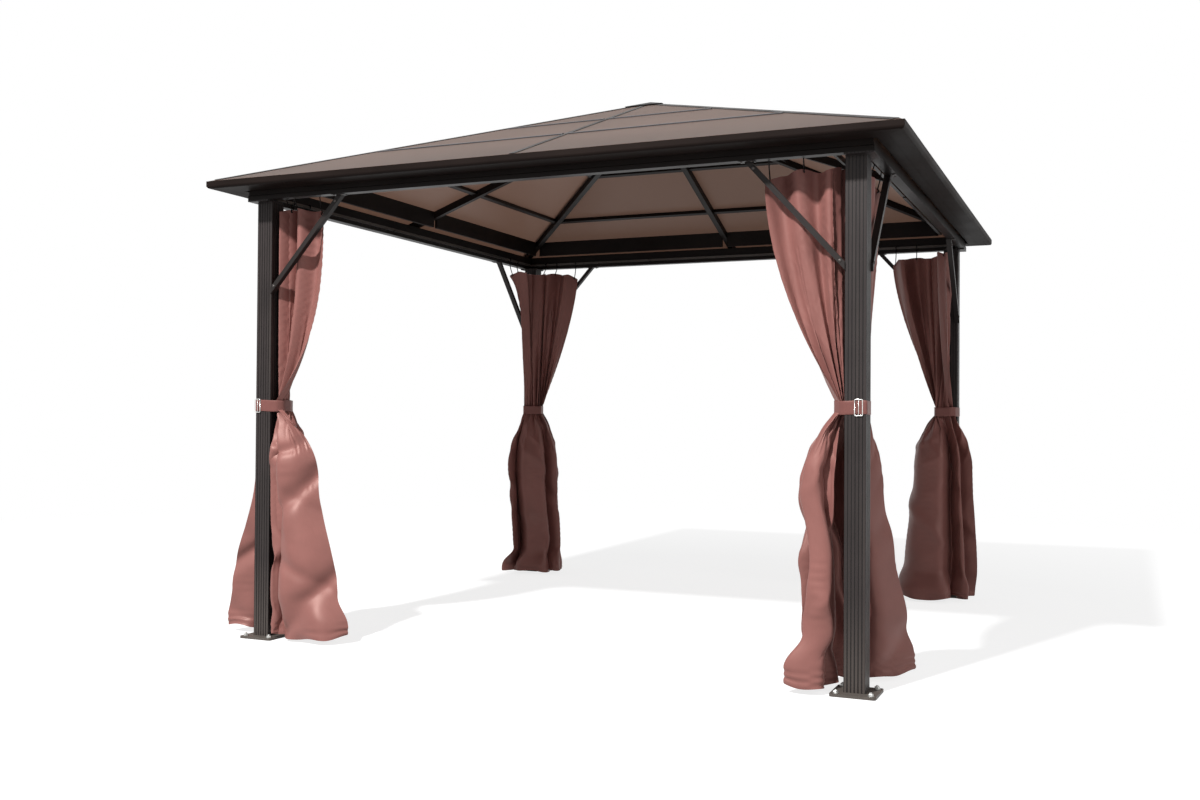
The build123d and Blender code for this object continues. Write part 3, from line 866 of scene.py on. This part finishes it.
def band(builder, corner, line, closed, half_height, thick, wave):
    """A woven band set on edge along a plan line: rounded edges, a slightly sunk middle."""
    sx, sy = CORNERS[corner]
    across = [(0.0, -1.0), (0.55, -0.99), (1.0, -0.93), (0.86, -0.6), (0.80, 0.0), (0.86, 0.6), (1.0, 0.93),
              (0.55, 0.99), (0.0, 1.0)]
    count = len(line)
    uv = builder.loops.layers.uv.verify()
    rings = []
    for k, place in enumerate(line):
        ahead = line[(k + 1) % count] if closed else line[min(k + 1, count - 1)]
        behind = line[k - 1] if closed or k else line[0]
        way = (ahead - behind).normalized()
        side = Vector((way.y, -way.x))
        lift = wave * sin(2 * pi * 3 * k / count + 0.8)
        ring = []
        for out, high in across:
            spot = place + side * out * thick
            ring.append(builder.verts.new((sx * (post_middle - spot.x), sy * (post_middle - spot.y),
                                           strap_middle + high * half_height + lift)))
        rings.append(ring)
    pairs = list(zip(rings, rings[1:])) + ([(rings[-1], rings[0])] if closed else [])
    flip = sx * sy < 0
    size = len(across)
    for k, (low, high) in enumerate(pairs):
        for j in range(size):
            quad = (low[j], high[j], high[(j + 1) % size], low[(j + 1) % size])
            face = builder.faces.new(quad[::-1] if flip else quad)
            face.smooth = j < size - 1
            for loop in face.loops:
                row = k if loop.vert in low else k + 1
                loop[uv].uv = (row * 0.0025, (loop.vert.co.z - strap_middle) + 0.03)
    if not closed:
        builder.faces.new(rings[0] if flip else rings[0][::-1])
        builder.faces.new(rings[-1][::-1] if flip else rings[-1])
    return line_length([*line, line[0]] if closed else line)


buckle_plate = zinc("buckle_plate", (0.86, 0.84, 0.81), 0.22)
strap_satin = satin("strap_satin", (0.165, 0.062, 0.055))
strap_half, strap_thick = 0.0250, 0.0014
tail_lift, tail_rise = 0.0004, 0.0014
buckle_half_width, buckle_half_height, buckle_round, buckle_wire = 0.0140, 0.0290, 0.004, 0.0018
buckle_off, buckle_lean, bar_back = 0.0052, 0.02, 0.0004
for cloth, (corner, shape) in zip(cloths, hangings.items()):
    sx, sy = CORNERS[corner]
    strap_builder = bmesh.new()
    line = strap_line(corner, cloth)
    length = band(strap_builder, corner, line, True, strap_half, strap_thick, 0.0012)
    buckle_middle = shape["buckle"]
    under_buckle = Vector((buckle_middle, -post_half - 0.003))
    front = min(range(strap_places), key=lambda k: (line[k] - under_buckle).length)
    step = 1 if line[(front + 10) % strap_places].x < line[front].x else -1
    tail = []
    for k in range(36):
        place = line[(front + step * (k - 2)) % strap_places]
        tail.append(place + place.normalized() * (strap_thick + tail_lift + tail_rise * max(0, 1 - k / 5)))
    length += band(strap_builder, corner, tail[::step], False, strap_half * 0.94, strap_thick * 0.8, 0.0)
    strap = add_piece(f"strap_{corner}", strap_builder, strap_satin)
    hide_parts("tie_straps")
    outline = []
    for u, v in ((1, 1), (-1, 1), (-1, -1), (1, -1)):
        for k in range(6):
            turn = atan2(v, u) - pi / 4 + pi / 2 * k / 5
            outline.append((u * (buckle_half_width - buckle_round) + buckle_round * cos(turn),
                            v * (buckle_half_height - buckle_round) + buckle_round * sin(turn)))
    buckle = bmesh.new()
    across_post, off_plan = post_middle - buckle_middle, post_middle + post_half + buckle_off
    loop_places = [Vector((sx * (across_post - x), sy * (off_plan - buckle_lean * (buckle_half_width - x)),
                           strap_middle + z)) for x, z in [*outline, outline[0]]]
    wire(buckle, loop_places, buckle_wire, 10)
    bar_places = [Vector((sx * across_post, sy * (off_plan - bar_back), strap_middle + z))
                  for z in (-buckle_half_height, 0.0, buckle_half_height)]
    wire(buckle, bar_places, buckle_wire * 0.7, 10)
    add_piece(f"buckle_{corner}", buckle, buckle_plate)

# ---------------------------------------------------------------------------
# Stage: a pale floor and backdrop, a soft key lamp before the gazebo, a wide
# fill lamp and an even white surround. The camera stands off the front right corner.
# ---------------------------------------------------------------------------
def seen_directly(node, link):
    """1 for rays from the camera, mirrors or glass, and 0 for the light that falls on things."""
    path = node("ShaderNodeLightPath")
    camera, mirror, glass = (path.outputs[f"Is {ray} Ray"] for ray in ("Camera", "Glossy", "Transmission"))
    return worked_out(node, link, "MAXIMUM", worked_out(node, link, "MAXIMUM", camera, mirror), glass)


floor_builder = bmesh.new()
floor_half = 60.0
floor_builder.faces.new([floor_builder.verts.new((x * floor_half, y * floor_half, 0)) for x, y in
                         ((-1, -1), (1, -1), (1, 1), (-1, 1))])
floor = linked("floor", floor_builder)
floor_paint, floor_shader = blank_material("floor_pale")
node, link = nodes_of(floor_paint)
floor_shader.inputs["Base Color"].default_value = (0.38, 0.38, 0.38, 1)
floor_shader.inputs["Roughness"].default_value = 1.0
floor_shader.inputs["Specular IOR Level"].default_value = 0.0
directly = seen_directly(node, link)
lift = node("ShaderNodeEmission")
link(worked_out(node, link, "MULTIPLY", directly, 0.78), lift.inputs["Strength"])
lifted = node("ShaderNodeAddShader")
link(floor_shader.outputs[0], lifted.inputs[0])
link(lift.outputs[0], lifted.inputs[1])
from_middle = node("ShaderNodeVectorMath", operation="LENGTH")
link(node("ShaderNodeTexCoord").outputs["Object"], from_middle.inputs[0])
far_off = ramp(node, link, from_middle.outputs["Value"], 2.6, 7.5)
pure = node("ShaderNodeEmission", Strength=1.0)
faded = node("ShaderNodeMixShader")
link(worked_out(node, link, "MULTIPLY", far_off, directly), faded.inputs[0])
link(lifted.outputs[0], faded.inputs[1])
link(pure.outputs[0], faded.inputs[2])
link(faded.outputs[0], floor_paint.node_tree.nodes["Material Output"].inputs["Surface"])
floor.data.materials.append(floor_paint)

world = bpy.data.worlds.new("surround")
world.use_nodes = True
bpy.context.scene.world = world
node, link = nodes_of(world)
background = world.node_tree.nodes["Background"]
background.inputs["Color"].default_value = (1, 1, 1, 1)
level = ramp(node, link, seen_directly(node, link), 0.0, 1.0, 0.21, 1.0)
link(level, background.inputs["Strength"])


def area_lamp(name, place, aim, size, power):
    """A square soft lamp aimed at a point."""
    data = bpy.data.lights.new(name, "AREA")
    data.shape = "SQUARE"
    data.size = size
    data.energy = power
    lamp = bpy.data.objects.new(name, data)
    lamp.location = place
    lamp.rotation_euler = (Vector(aim) - Vector(place)).to_track_quat("-Z", "Y").to_euler()
    bpy.context.scene.collection.objects.link(lamp)


area_lamp("key_lamp", (-1.9, -9.8, 9.6), (0, -0.6, 1.0), 0.55, 2560)
area_lamp("fill_lamp", (9.0, -4.0, 5.0), (0, 0, 1.2), 6.0, 220)

camera_data = bpy.data.cameras.new("camera")
camera_data.lens = 36.11
camera_data.sensor_width = 36.0
camera = bpy.data.objects.new("camera", camera_data)
camera.location = (2.1696, -5.6338, 0.9861)
camera.rotation_euler = (pi / 2 + 0.0135, -0.0067, 0.4079)
bpy.context.scene.collection.objects.link(camera)
bpy.context.scene.camera = camera
bpy.context.scene.view_settings.view_transform = "Standard"
